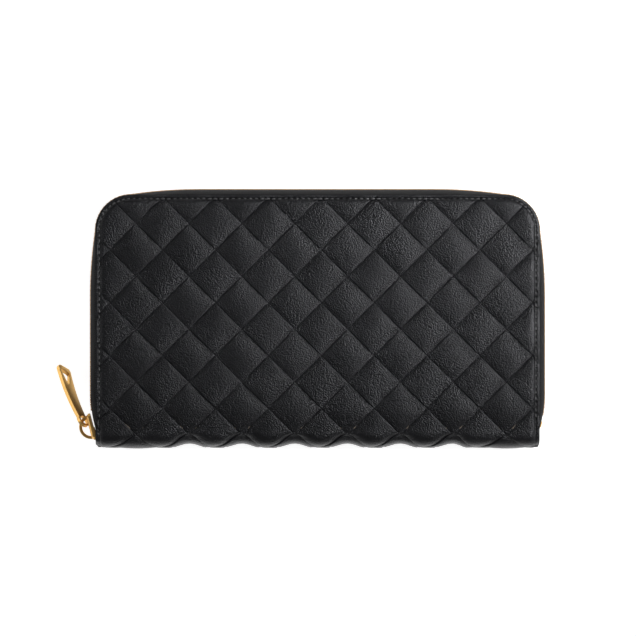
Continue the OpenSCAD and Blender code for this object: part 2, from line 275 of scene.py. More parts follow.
def ramp(tree, socket, low, high, low_value, high_value):
    """Maps a number from low..high to low_value..high_value."""
    node = add_node(tree, "ShaderNodeMapRange", [
        ("Value", socket), ("From Min", low), ("From Max", high),
        ("To Min", low_value), ("To Max", high_value),
    ])
    return node.outputs["Result"]


def mix_colour(tree, factor, a, b):
    """Colour a turned into colour b by a factor. Each may be a value or a socket."""
    node = tree.nodes.new("ShaderNodeMix")
    node.data_type = "RGBA"
    for socket, value in ((node.inputs[0], factor), (node.inputs[6], a), (node.inputs[7], b)):
        if isinstance(value, bpy.types.NodeSocket):
            tree.links.new(value, socket)
        else:
            socket.default_value = value
    return node.outputs[2]


def pricked_seam(tree):
    """Factors for the holes of the seam and the channel they lie in, from the strips' own marks."""
    edge = add_node(tree, "ShaderNodeAttribute", attribute_name="edge").outputs["Fac"]
    turns = add_node(tree, "ShaderNodeAttribute", attribute_name="turns").outputs["Fac"]
    off = math_node(tree, "SUBTRACT", edge, SEAM_IN / MM)
    across = math_node(tree, "ABSOLUTE", off)
    part = math_node(tree, "PINGPONG", turns, 0.5)
    channel = ramp(tree, across, 0.25, 0.75, 1.0, 0.0)
    reach = math_node(tree, "MULTIPLY_ADD", part, STITCH_PITCH / MM, 0.0)
    both = add_node(tree, "ShaderNodeVectorMath", [
        (0, add_node(tree, "ShaderNodeCombineXYZ", [(0, across), (1, reach)]).outputs[0]),
    ], operation="LENGTH").outputs["Value"]
    return ramp(tree, both, 0.42, 0.66, 1.0, 0.0), channel


# Painted shade: the colour of the creases between the grain's pebbles
CREASE_SHADE = (0.0015, 0.0015, 0.0018, 1)
# Painted shade: the colour of the seam's holes
HOLE_SHADE = (0.0006, 0.0006, 0.0006, 1)


def leather(name, colour, pale_tone_and_highlight, rough, grain_mm, grain_depth, strips=False):
    """Black nappa: pebbled grain with fine creases between the pebbles, painted darker as shade, and
    paler on convex edges and crowns.

    On the woven strips it also reads each strip's marks: its tone, how far it bends down to the next
    crossing, its long edges, painted paler as a highlight, and the seam's holes, bumped in and
    painted near-black as shade.
    """
    material, tree, shader = new_material(name)
    place = tree.nodes.new("ShaderNodeTexCoord").outputs["Object"]
    warp = add_node(tree, "ShaderNodeTexNoise", [("Vector", place), ("Scale", 900), ("Detail", 3)])
    bent = add_node(tree, "ShaderNodeVectorMath", [(0, warp.outputs["Color"]), (1, (0.00035,) * 3)],
                    operation="MULTIPLY")
    moved = add_node(tree, "ShaderNodeVectorMath", [(0, place), (1, bent.outputs[0])],
                     operation="ADD")
    cells = add_node(tree, "ShaderNodeTexVoronoi", [
        ("Vector", moved.outputs[0]), ("Scale", 1 / (grain_mm * MM)), ("Randomness", 0.9),
    ])
    dome = math_node(tree, "POWER", cells.outputs["Distance"], 2.0)
    pebble = ramp(tree, dome, 0.0, 0.6, 1.0, 0.0)
    fine = add_node(tree, "ShaderNodeTexNoise", [("Vector", place), ("Scale", 6500), ("Detail", 4)])
    patch = add_node(tree, "ShaderNodeTexNoise", [("Vector", place), ("Scale", 70), ("Detail", 3)])
    depth = ramp(tree, patch.outputs["Fac"], 0.35, 0.65, 0.6, 1.0)
    if strips:
        bend = add_node(tree, "ShaderNodeAttribute", attribute_name="bend").outputs["Fac"]
        depth = math_node(tree, "ADD", ramp(tree, bend, 0.0, 1.0, 0.0, 0.6), depth)
    relief = math_node(tree, "MULTIPLY", pebble, depth)
    height = math_node(tree, "MULTIPLY_ADD", fine.outputs["Fac"], 0.35, relief)
    if strips:
        hole, channel = pricked_seam(tree)
        height = math_node(tree, "MULTIPLY_ADD", channel, -3.5, height)
        height = math_node(tree, "MULTIPLY_ADD", hole, -3.0, height)
    bump = add_node(tree, "ShaderNodeBump", [
        ("Strength", 1.0), ("Distance", grain_depth * MM), ("Height", height),
    ])
    tree.links.new(bump.outputs[0], shader.inputs["Normal"])
    # The creases between the pebbles are painted darker: painted shade.
    shade = mix_colour(tree, ramp(tree, pebble, 0, 0.8, 0.1, 1.0), CREASE_SHADE, (*colour, 1))
    # Convex edges and crowns, picked out by the mesh's pointiness, are painted paler.
    edge = tree.nodes.new("ShaderNodeNewGeometry").outputs["Pointiness"]
    convex_paling = ramp(tree, edge, 0.52, 0.62, 0.0, 0.6)
    shade = mix_colour(tree, convex_paling, shade, (*pale_tone_and_highlight, 1))
    if strips:
        tone = add_node(tree, "ShaderNodeAttribute", attribute_name="tone").outputs["Fac"]
        shade = mix_colour(tree, ramp(tree, tone, 0, 1, 0.0, 0.25), shade, (*pale_tone_and_highlight, 1))
        rim = add_node(tree, "ShaderNodeAttribute", attribute_name="rim").outputs["Fac"]
        # Painted highlight: the outermost edge of each strip is painted twice as pale as the paler
        # tone.
        painted_edge_highlight = (*[c * 2 for c in pale_tone_and_highlight], 1)
        shade = mix_colour(tree, ramp(tree, rim, 0.95, 0.985, 0.0, 0.35), shade, painted_edge_highlight)
        # The seam's holes are painted near-black: painted shade.
        shade = mix_colour(tree, hole, shade, HOLE_SHADE)
    tree.links.new(shade, shader.inputs["Base Color"])
    gloss = ramp(tree, patch.outputs["Fac"], 0.3, 0.7, rough + 0.05, rough - 0.05)
    tree.links.new(gloss, shader.inputs["Roughness"])
    shader.inputs["Specular IOR Level"].default_value = 0.32
    shader.inputs["Specular Tint"].default_value = (0.95, 0.96, 1.0, 1)
    return material


# The twill's ribs, its yarns and the width of one rib's slant before it turns, in millimetres
RIB_PITCH = 0.9
YARN_PITCH = 0.3
HERRINGBONE_W = 3.0


def twill(name, colour, pale):
    """Woven tape: fine diagonal ribs crossed by yarns, laid along the tape's own length."""
    material, tree, shader = new_material(name)
    uv = add_node(tree, "ShaderNodeUVMap", uv_map="UVMap").outputs["UV"]
    parts = add_node(tree, "ShaderNodeSeparateXYZ", [(0, uv)])
    along, across = parts.outputs["X"], parts.outputs["Y"]
    slant = math_node(tree, "ADD", along, math_node(tree, "PINGPONG", across, HERRINGBONE_W))
    turn = math_node(tree, "MULTIPLY", slant, 2 * math.pi / RIB_PITCH)
    rib = math_node(tree, "SINE", turn)
    yarn_turn = math_node(tree, "MULTIPLY", across, 2 * math.pi / YARN_PITCH)
    yarn = math_node(tree, "SINE", yarn_turn)
    place = tree.nodes.new("ShaderNodeTexCoord").outputs["Object"]
    fuzz = add_node(tree, "ShaderNodeTexNoise", [("Vector", place), ("Scale", 5000), ("Detail", 4)])
    height = math_node(tree, "MULTIPLY_ADD", yarn, 0.35, rib)
    height = math_node(tree, "MULTIPLY_ADD", fuzz.outputs["Fac"], 0.9, height)
    bump = add_node(tree, "ShaderNodeBump", [
        ("Strength", 0.8), ("Distance", 0.07 * MM), ("Height", height),
    ])
    tree.links.new(bump.outputs[0], shader.inputs["Normal"])
    shade = mix_colour(tree, ramp(tree, height, -0.8, 1.8, 0, 1), (*colour, 1), (*pale, 1))
    tree.links.new(shade, shader.inputs["Base Color"])
    shader.inputs["Roughness"].default_value = 0.85
    shader.inputs["Specular IOR Level"].default_value = 0.12
    shader.inputs["Sheen Weight"].default_value = 0.02
    shader.inputs["Sheen Roughness"].default_value = 0.4
    return material


def gold(name, colour, rough):
    """Polished gold plating with faint scuffs and a slightly uneven tone."""
    material, tree, shader = new_material(name)
    place = tree.nodes.new("ShaderNodeTexCoord").outputs["Object"]
    cloud = add_node(tree, "ShaderNodeTexNoise", [("Vector", place), ("Scale", 260), ("Detail", 4)])
    scuff = add_node(tree, "ShaderNodeTexNoise", [
        ("Vector", place), ("Scale", 2600), ("Detail", 6), ("Roughness", 0.7),
    ])
    shade = mix_colour(tree, cloud.outputs["Fac"], (*[c * 0.86 for c in colour], 1), (*colour, 1))
    tree.links.new(shade, shader.inputs["Base Color"])
    tree.links.new(ramp(tree, scuff.outputs["Fac"], 0.35, 0.75, rough, rough + 0.14),
                   shader.inputs["Roughness"])
    bump = add_node(tree, "ShaderNodeBump", [
        ("Strength", 0.05), ("Distance", 0.004 * MM), ("Height", scuff.outputs["Fac"]),
    ])
    tree.links.new(bump.outputs[0], shader.inputs["Normal"])
    shader.inputs["Metallic"].default_value = 1.0
    return material


def thread_material():
    """Waxed black thread with a twist along each stitch."""
    material, tree, shader = new_material("waxed_thread")
    place = tree.nodes.new("ShaderNodeTexCoord").outputs["Object"]
    ply = add_node(tree, "ShaderNodeTexWave", [
        ("Vector", place), ("Scale", 900), ("Distortion", 1.5), ("Detail", 2),
    ], bands_direction="DIAGONAL")
    bump = add_node(tree, "ShaderNodeBump", [
        ("Strength", 0.7), ("Distance", 0.05 * MM), ("Height", ply.outputs["Fac"]),
    ])
    tree.links.new(bump.outputs[0], shader.inputs["Normal"])
    shade = mix_colour(tree, ply.outputs["Fac"], (0.02, 0.02, 0.021, 1), (0.1, 0.1, 0.104, 1))
    tree.links.new(shade, shader.inputs["Base Color"])
    shader.inputs["Roughness"].default_value = 0.3
    return material


def board_material():
    """Grey-brown pressed fibre board."""
    material, tree, shader = new_material("fibre_board")
    place = tree.nodes.new("ShaderNodeTexCoord").outputs["Object"]
    fibre = add_node(tree, "ShaderNodeTexNoise", [("Vector", place), ("Scale", 900), ("Detail", 6)])
    shade = mix_colour(tree, fibre.outputs["Fac"], (0.16, 0.13, 0.1, 1), (0.3, 0.25, 0.2, 1))
    tree.links.new(shade, shader.inputs["Base Color"])
    shader.inputs["Roughness"].default_value = 0.9
    return material


# Each leather's second colour is its paler tone; on the woven strips, doubled, it also makes the
# painted edge highlight.
WOVEN = leather("woven_nappa", (0.0042, 0.0042, 0.005), (0.012, 0.012, 0.0135), rough=0.34,
                grain_mm=0.6, grain_depth=0.13, strips=True)
LINING = leather("lining_calf", (0.009, 0.009, 0.0095), (0.025, 0.025, 0.026), rough=0.5,
                 grain_mm=0.6, grain_depth=0.06)
TAPE = twill("twill_tape", (0.0025, 0.0025, 0.003), (0.014, 0.014, 0.0145))
GOLD = gold("gold_plate", (0.9, 0.55, 0.18), 0.38)
TOOTH_GOLD = gold("tooth_gold", (0.72, 0.46, 0.22), 0.26)
THREAD = thread_material()
BOARD = board_material()

# ---- The woven leather ----

STRIP_T = 0.55 * MM
STRIP_GAP = 0.12 * MM
# How far a strip bulges over a crossing, and how far it goes up and down between crossings
CROWN = 0.6 * MM
RELIEF = 0.3 * MM
# The length over which it goes down, and how suddenly
DIVE = 4.2 * MM
DIVE_POWER = 2.4
TILT = 0.11 * MM
EDGE_ROUND = 0.3 * MM
# The share of the relief that is left under the seam, which presses it flat
PRESSED = 0.16
PRESSED_FROM, PRESSED_OVER = 1.2 * MM, 1.8 * MM
ALONG_STEP = 0.75 * MM
# The mark of a place's distance from the zipped edge goes no higher
EDGE_MARK_MAX = 6 * MM
# Strips are numbered from -STRIPS to STRIPS
STRIPS = 24

# Each crossing leans and shades a little differently
CELLS = (128, 64)
CELL_LEAN = np.random.default_rng(11).uniform(-1, 1, CELLS)
CELL_TONE = np.random.default_rng(7).uniform(0, 1, CELLS)


def edge_run(u, v):
    """Distance along the zipped edge, from the middle of its far side."""
    qx = np.abs(u) - (HALF_W - CORNER_R)
    qy = v - (FAR_Y - CORNER_R)
    turn = np.arctan2(np.maximum(qx, 0), np.maximum(qy, 1e-9))
    corner = (HALF_W - CORNER_R) + CORNER_R * turn
    return np.where(qx < 0, np.abs(u), np.where(qy > 0, corner, corner - qy))


def of_cell(table, along, index):
    """A crossing's own value, at places along one strip."""
    cell = np.round(along / STRIP_PITCH).astype(int)
    return table[cell + CELLS[0] // 2, index + CELLS[1] // 2]


def cross_samples():
    """Places across a strip from -1 to 1, closer together at its edges."""
    half = np.array([0, 0.2, 0.4, 0.6, 0.78, 0.9, 0.955, 0.982, 1.0])
    return np.concatenate([-half[:0:-1], half])


def strip_height(along, across, index, starts_over):
    """Height of a strip's middle surface, over one crossing and under the next, and its bend."""
    cell = np.round(along / STRIP_PITCH)
    offset = np.abs(along - cell * STRIP_PITCH)
    over = (np.mod(cell + index, 2) == 0) == starts_over
    down = 1 - np.clip((STRIP_PITCH / 2 - offset) / DIVE, 0, 1)
    lift = (1 - down**DIVE_POWER) ** (1 / DIVE_POWER)
    crown = CROWN * np.cos(math.pi * offset / STRIP_PITCH) * (1 - 0.7 * np.abs(across) ** 2.5)
    lean = TILT * of_cell(CELL_LEAN, along, index)
    crown = crown + lean * (along - cell * STRIP_PITCH) / (STRIP_PITCH / 2)
    return np.where(over, RELIEF * (2 * lift - 1) + crown * lift, -RELIEF), np.where(over, down, 1)


SEARCH_STEP = 0.5 * MM
SEARCH_STEPS = 640
HALVINGS = 22


def line_span(point, heading):
    """Where a line enters and leaves the half sheet, or None."""
    def inside(s):
        u, v = point[0] + s * heading[0], point[1] + s * heading[1]
        return (inset(u, v) > 0) & (v > V_MID)

    reach = np.arange(-SEARCH_STEPS, SEARCH_STEPS) * SEARCH_STEP
    hits = np.flatnonzero(inside(reach))
    if len(hits) < 3:
        return None
    ends = []
    for start, step in ((reach[hits[0]], -SEARCH_STEP), (reach[hits[-1]], SEARCH_STEP)):
        near, far = start, start + step
        for _ in range(HALVINGS):
            middle = (near + far) / 2
            near, far = (middle, far) if inside(middle) else (near, middle)
        ends.append(near)
    return ends


def strip_mesh(index, rising, side):
    """One strip of the half sheet as a closed solid, or None where it misses the sheet."""
    s = math.sqrt(0.5)
    heading, sideways = ((s, s), (-s, s)) if rising else ((-s, s), (s, s))
    half = STRIP_PITCH / 2 - STRIP_GAP / 2
    rows = []
    for w in cross_samples():
        shift = index * STRIP_PITCH + w * half
        point = (LATTICE_U + shift * sideways[0], LATTICE_V + shift * sideways[1])
        # The back half sheet is the part of the unrolled sheet beyond the middle of the spine
        if side == "back":
            span = line_span((point[0], 2 * V_MID - point[1]), (heading[0], -heading[1]))
        else:
            span = line_span(point, heading)
        if span:
            rows.append((w, shift, *span))
    if len(rows) < 3:
        return None
    w, shift, low, high = (np.array(column)[:, None] for column in zip(*rows))
    first = math.ceil(low.min() / ALONG_STEP) - 1
    last = math.floor(high.max() / ALONG_STEP) + 1
    grid = np.arange(first, last + 1) * ALONG_STEP
    along = np.clip(grid[None, :], low, high)
    u = LATTICE_U + shift * sideways[0] + along * heading[0]
    v = LATTICE_V + shift * sideways[1] + along * heading[1]
    if side == "back":
        v = 2 * V_MID - v
    height, down = strip_height(along, w, index, rising)
    from_edge = inset(u, v)
    marks = {
        "tone": of_cell(CELL_TONE, along, index),
        "bend": down,
        "rim": np.abs(w) + 0 * along,
        "edge": np.minimum(from_edge, EDGE_MARK_MAX) / MM,
        "turns": edge_run(u, v) / STITCH_PITCH,
    }
    height = height * (PRESSED + (1 - PRESSED) * smooth((from_edge - PRESSED_FROM) / PRESSED_OVER))
    to_edge = (1 - np.abs(w)) * half
    round_off = EDGE_ROUND - np.sqrt(np.maximum(
        EDGE_ROUND**2 - np.maximum(EDGE_ROUND - to_edge, 0) ** 2, 0))
    middle = -(RELIEF + STRIP_T / 2 + CROWN)
    top = skin_point(u, v, middle + height + STRIP_T / 2 - round_off)
    under = skin_point(u, v, middle + height - STRIP_T / 2 + round_off * 0.2)
    first_inside = np.argmax(grid[None, :] > low, axis=1) - 1
    last_inside = len(grid) - np.argmax((grid[None, :] < high)[:, ::-1], axis=1)
    return weld_ends(top, under, first_inside, last_inside, marks)


def weld_ends(top, under, first_inside, last_inside, marks):
    """Closes a strip's two faces into a solid, and welds the points that meet at its ends."""
    rows, columns = top.shape[:2]
    pick = np.clip(np.arange(columns)[None, :], first_inside[:, None], last_inside[:, None])
    number = np.arange(rows)[:, None] * columns + pick
    total = rows * columns
    faces = []

    def add(*corners):
        ring = [c for i, c in enumerate(corners) if c != corners[i - 1]]
        if len(set(ring)) >= 3:
            faces.append(tuple(ring))

    for r in range(rows - 1):
        for c in range(columns - 1):
            a, b = number[r, c], number[r, c + 1]
            d, e = number[r + 1, c], number[r + 1, c + 1]
            add(a, b, e, d)
            add(a + total, d + total, e + total, b + total)
    for c in range(columns - 1):
        a, b = number[0, c], number[0, c + 1]
        add(a, a + total, b + total, b)
        a, b = number[-1, c], number[-1, c + 1]
        add(a, b, b + total, a + total)
    for r in range(rows - 1):
        a, b = number[r, 0], number[r + 1, 0]
        add(a, b, b + total, a + total)
        a, b = number[r, -1], number[r + 1, -1]
        add(a, a + total, b + total, b)
    verts = np.concatenate([top.reshape(-1, 3), under.reshape(-1, 3)])
    used = sorted({i for f in faces for i in f})
    renumber = {old: new for new, old in enumerate(used)}
    marks = {title: np.concatenate([m.ravel(), m.ravel()])[used] for title, m in marks.items()}
    return verts[used], [tuple(renumber[i] for i in f) for f in faces], marks


def over_fold(obj):
    """Bakes a piece's placement into its mesh; it does not bend the piece at the fold."""
    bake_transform(obj)


def weave(side):
    """The two sets of strips on one cover and its half of the spine."""
    for rising in (True, False):
        strips = [strip_mesh(index, rising, side) for index in range(-STRIPS, STRIPS + 1)]
        strips = [strip for strip in strips if strip]
        verts, faces = join_parts([strip[:2] for strip in strips])
        verts = to_side(verts, side)
        name = f"{side}_woven_strips_{'rising' if rising else 'falling'}"
        obj = make_object(name, verts, faces, WOVEN, 50, mirror=not rising)
        for title in strips[0][2]:
            mark = obj.data.attributes.new(title, "FLOAT", "POINT")
            values = np.concatenate([strip[2][title] for strip in strips])
            mark.data.foreach_set("value", values.astype(np.float32))
        over_fold(obj)
        if rising:
            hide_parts(f"{side}_woven_panel")
        elif side == "front":
            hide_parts("spine_woven_panel")


for each_side in SIDES:
    weave(each_side)

# ---- The zip's path, out from the covers' edge ----

ZIP_PROUD = 1.7 * MM
# The zip lies closer to the covers near the corners and the fold: over a length, on a radius
CORNER_FALL_L, CORNER_FALL_R = 28.5 * MM, 193 * MM
FOLD_FALL_L, FOLD_FALL_R = 14 * MM, 49 * MM
SIDE_L = FAR_Y - CORNER_R - NEAR_Y
ARC_L = CORNER_R * math.pi / 2
FAR_HALF_L = HALF_W - CORNER_R
EDGE_L = 2 * (SIDE_L + ARC_L + FAR_HALF_L)


def fall(d, r):
    """How far a circle of radius r drops over a distance d."""
    return np.maximum(d, 0) ** 2 / (2 * r)


def bow_at(s):
    """How far the zip stands out from the covers' edge at a distance s along it."""
    h = np.minimum(s, EDGE_L - s)
    beside = np.maximum(np.maximum(SIDE_L - h, h - SIDE_L - ARC_L), 0)
    near_corner = fall(CORNER_FALL_L - beside, CORNER_FALL_R)
    return ZIP_PROUD - fall(FOLD_FALL_L - h, FOLD_FALL_R) - near_corner


def edge_at(s):
    """Points of the covers' edge and its outward directions, at distances s from the left fold."""
    h = np.minimum(s, EDGE_L - s)
    angle = math.pi - np.clip(h - SIDE_L, 0, ARC_L) / CORNER_R
    x = -FAR_HALF_L + CORNER_R * np.cos(angle) + np.maximum(h - SIDE_L - ARC_L, 0)
    y = FAR_Y - CORNER_R + CORNER_R * np.sin(angle) - np.maximum(SIDE_L - h, 0)
    flip = np.where(s > EDGE_L / 2, -1, 1)
    point = np.stack([x * flip, y, 0 * x], -1)
    return point, np.stack([np.cos(angle) * flip, np.sin(angle), 0 * x], -1)


def zip_frame(s):
    """Points on the zip's middle line, with the directions out from it and along it."""
    def middle(at):
        point, out = edge_at(at)
        return point + out * bow_at(at)[:, None] + [0, 0, MID_Z]

    step = 0.4 * MM
    along = middle(np.minimum(s + step, EDGE_L)) - middle(np.maximum(s - step, 0))
    along /= np.linalg.norm(along, axis=1, keepdims=True)
    out = np.stack([-along[:, 1], along[:, 0], 0 * s], -1)
    return middle(s), out, along


CHAIN_HALF_W = 2.3 * MM
TAPE_T = 0.5 * MM
# The radius of the cord along the tape's edge, which the teeth are clamped on
CORD_R = 0.62 * MM
TAPE_LIFT = WOVEN_T + 0.5 * MM
TAPE_STATIONS = 372


def tape_section(bow):
    """The tape's middle line at one station as (out, z) points, and how thick it is at each."""
    inner = [(-d, TAPE_LIFT) for d in (2.8 * MM, 1.6 * MM, 0.9 * MM)]
    start = TAPE_LIFT + 0.1 * MM
    root = MID_Z - CHAIN_HALF_W + 0.2 * MM
    wall = []
    for t in np.linspace(0, 1, 13):
        out = (bow - 0.15 * MM) * math.sin(math.pi / 2 * min(1, 1.3 * t)) - 0.25 * MM * (1 - t) ** 3
        wall.append((out, start + (root - start) * t))
    line = np.array(inner + wall)
    thick = np.full(len(line), TAPE_T / 2)
    bead = np.linspace(0, 1, 5)[1:]
    thick[-4:] = TAPE_T / 2 + (CORD_R - TAPE_T / 2) * np.sqrt(1 - (1 - bead) ** 2) * [0.6, 1, 1, 0.8]
    return line, thick


def make_tape(side):
    """One cover's zip tape, with its length and its width in millimetres as UV."""
    stations = np.linspace(0, EDGE_L, TAPE_STATIONS)
    point, out = edge_at(stations)
    rings, across = [], None
    for p, o, bow in zip(point, out, bow_at(stations)):
        line, thick = tape_section(bow)
        ring = thicken(line, thick[:, None])
        rings.append(p + o * ring[:, :1] + ring[:, 1:] * np.array([0, 0, 1]))
        if across is None:
            run = np.concatenate([[0], np.cumsum(np.linalg.norm(np.diff(line, axis=0), axis=1))])
            across = np.concatenate([run, run[::-1]])
    verts, faces = sweep(np.array(rings))
    verts = to_side(verts, side, "back")
    obj = make_object(f"{side}_twill_tape", verts, faces, TAPE, 60, side == "front")
    uv = obj.data.uv_layers.new(name="UVMap")
    width = len(across)
    corner = np.array([loop.vertex_index for loop in obj.data.loops])
    places = np.stack([stations[corner // width], across[corner % width]], -1) / MM
    uv.data.foreach_set("uv", places.ravel())
    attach(obj, f"{side}_cover")
    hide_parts(f"{side}_zip_tape")


def on_zip(shape, point, out, along):
    """A shape with X along the zip, Y out from it and Z up, set at one place on it."""
    return point + shape[:, :1] * along + shape[:, 1:2] * out + shape[:, 2:] * np.array([0, 0, 1])


def prism(outline, levels):
    """A solid lofted through one outline at several levels, each (height, inset to the middle)."""
    outline = np.array(outline)
    centre = outline.mean(0)
    reach = np.linalg.norm(outline - centre, axis=1, keepdims=True)
    rings = []
    for height, pull in levels:
        flat = centre + (outline - centre) * (1 - pull / reach)
        rings.append(np.stack([flat[:, 0], np.full(len(flat), height), flat[:, 1]], -1))
    return sweep(np.array(rings))


TOOTH_PITCH = 2 * MM
TOOTH_T = 1.8 * MM
TOOTH_W = 0.92 * MM
# How far a tooth's head reaches past the middle line
NIB = 0.5 * MM
SLIDER_Y = FOLD_Y + 1.2 * MM
SLIDER_L = 11.4 * MM
# The room that the teeth leave for the closed slider and for the end stop
SLIDER_ROOM = 1.2 * MM
STOP_ROOM = 4.2 * MM
CHAIN_START = SLIDER_Y + SLIDER_L / 2 + SLIDER_ROOM - NEAR_Y
CHAIN_END = EDGE_L - STOP_ROOM


def tooth():
    """One tooth: a foot clamped on the tape's cord, a waist and a head past the middle line."""
    w, root = TOOTH_W / 2, CHAIN_HALF_W
    outline = [
        (-w * 0.8, -root), (w * 0.8, -root), (w, -root * 0.85), (w, -root * 0.35),
        (w * 0.62, -root * 0.12), (w * 0.74, NIB * 0.55), (w * 0.45, NIB), (-w * 0.45, NIB),
        (-w * 0.74, NIB * 0.55), (-w * 0.62, -root * 0.12), (-w, -root * 0.35), (-w, -root * 0.85),
    ]
    half, ease_w = TOOTH_T / 2, 0.16 * MM
    return prism(outline, [(-half, ease_w), (-half + ease_w, 0), (half - ease_w, 0), (half, ease_w)])


def make_teeth(side):
    """One cover's tooth row, half a pitch apart from the other's."""
    count = int((CHAIN_END - CHAIN_START) / TOOTH_PITCH)
    offset = 0 if side == "front" else 0.5
    shape, shape_faces = tooth()
    places = zip(*zip_frame(CHAIN_START + (np.arange(count) + offset) * TOOTH_PITCH))
    verts, faces = join_parts([(on_zip(shape, *place), shape_faces) for place in places])
    verts = to_side(verts, side, "back")
    obj = make_object(f"{side}_tooth_row", verts, faces, TOOTH_GOLD, 30, side == "back")
    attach(obj, f"{side}_cover")
    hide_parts(f"{side}_zip_teeth")


PLATE_T = 0.9 * MM
PLATE_GAP = 0.25 * MM
DOME_H = 0.95 * MM
# The dome's foot lies this far in from the wing's outline, and its top this much further
DOME_IN, DOME_TOP_IN = 0.25 * MM, 2.2 * MM


def make_slider_crown():
    """The domed outer face of the main slider, on its flat wing and under the bridge."""
    half, wide, tail, corner = SLIDER_L / 2, 4.3 * MM, 3.6 * MM, 1 * MM
    outline = [
        (half, -tail + corner), (half, tail - corner), (half - corner, tail), (0, tail),
        (-half / 2, wide), (-half + 1.5 * corner, wide), (-half, wide - 1.5 * corner),
        (-half, -wide + 1.5 * corner), (-half + 1.5 * corner, -wide), (-half / 2, -wide),
        (0, -tail), (half - corner, -tail),
    ]
    foot = TOOTH_T / 2 + PLATE_GAP + PLATE_T
    bulge = np.linspace(0, math.pi / 2, 7)
    levels = [(foot - 0.2 * MM, DOME_IN)]
    for b in bulge:
        levels.append((foot + DOME_H * math.sin(b), DOME_IN + DOME_TOP_IN * (1 - math.cos(b))))
    shape, faces = prism(outline, levels)
    place = (v[0] for v in zip_frame(np.array([SLIDER_Y - NEAR_Y])))
    obj = make_object("zip_slider_crown", on_zip(shape, *place), faces, GOLD)
    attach(obj, "zip_slider")


STITCH_L = 1.9 * MM
STITCH_R = 0.3 * MM
STITCH_SLANT = math.radians(7)
# How much of each end of the seam is left bare, and how high a stitch lies on the skin
SEAM_END = 3 * MM
STITCH_LIFT = 0.12 * MM


def stitch():
    """One stitch as a bent grain: along X, bowed up in Z, with its ends sunk in their holes."""
    rings = []
    for t in np.linspace(-1, 1, 9):
        radius = STITCH_R * math.sqrt(max(1 - abs(t) ** 3.5, 0.04))
        turn = np.linspace(0, 2 * math.pi, 9)[:-1]
        lift = 0.1 * MM - 0.34 * MM * t * t
        rings.append(np.stack([
            np.full(8, t * STITCH_L / 2), radius * np.cos(turn), lift + radius * np.sin(turn)], -1))
    return sweep(np.array(rings))


def make_stitching(side):
    """The seam round one cover, each stitch laid on the skin and turned along the edge."""
    count = int((EDGE_L / 2 - SEAM_END) / STITCH_PITCH)
    s = EDGE_L / 2 + (np.arange(-count, count) + 0.5) * STITCH_PITCH
    shape, shape_faces = stitch()
    surface = STITCH_LIFT - (RELIEF + CROWN)
    parts = []
    for at in s:
        ends, outs = edge_at(np.array([at - STITCH_L / 2, at, at + STITCH_L / 2]))
        flat = (ends - outs * SEAM_IN)[:, :2]
        high = skin_point(flat[:, 0], flat[:, 1], np.full(3, surface))
        above = skin_point(flat[1:2, 0], flat[1:2, 1], np.full(1, surface + 1 * MM))[0]
        up = (above - high[1]) / np.linalg.norm(above - high[1])
        along = (high[2] - high[0]) / np.linalg.norm(high[2] - high[0])
        beside = np.cross(up, along)
        turned = along * math.cos(STITCH_SLANT) + beside * math.sin(STITCH_SLANT)
        beside = np.cross(up, turned)
        verts = high[1] + shape[:, :1] * turned + shape[:, 1:2] * beside + shape[:, 2:] * up
        parts.append((verts, shape_faces))
    verts, faces = join_parts(parts)
    obj = make_object(f"{side}_seam_thread", to_side(verts, side), faces, THREAD, 60, side == "back")
    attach(obj, f"{side}_cover")
    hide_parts(f"{side}_edge_stitching")


# ---- Leather inside: the spine's lining and the folded gussets ----

LINING_T = 0.6 * MM
LINING_IN = 1.2 * MM
# How deep it lies under the spine's skin at the fold, and how much deeper beyond LINING_RUN
LINING_DEEP, LINING_DEEPER = 3.75 * MM, 1.2 * MM
LINING_RUN = 12 * MM
LINING_OVERLAP = 7 * MM


def make_spine_lining(side):
    """Half the spine's lining. It reaches over the cover's lining, so it bridges the fold."""
    run = np.linspace(-LINING_OVERLAP, ARC_RUN[-1], 40)
    deep = LINING_DEEP + LINING_DEEPER * smooth(run / LINING_RUN)
    y = np.where(run < 0, FOLD_Y - run, np.interp(run, ARC_RUN, ARC_Y))
    z = np.interp(run, ARC_RUN, ARC_Z)
    scale_y = np.where(run < 0, 1, (BULGE - deep) / BULGE)
    scale_z = (MID_Z - deep) / MID_Z
    line = np.stack([FOLD_Y + (y - FOLD_Y) * scale_y, MID_Z + (z - MID_Z) * scale_z], -1)
    ring = thicken(line, LINING_T / 2)
    xs = np.linspace(-HALF_W + LINING_IN, HALF_W - LINING_IN, 60)
    verts, faces = sweep(np.array([
        np.stack([np.full(len(ring), x), ring[:, 0], ring[:, 1]], -1) for x in xs]))
    verts = to_side(verts, side)
    obj = make_object(f"{side}_spine_lining_leather", verts, faces, LINING, 50, side == "back")
    over_fold(obj)
    if side == "front":
        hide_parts("spine_lining")


GUSSET_TOP_Y = 16 * MM
GUSSET_FOLD_X = 77 * MM
GUSSET_T = 0.6 * MM


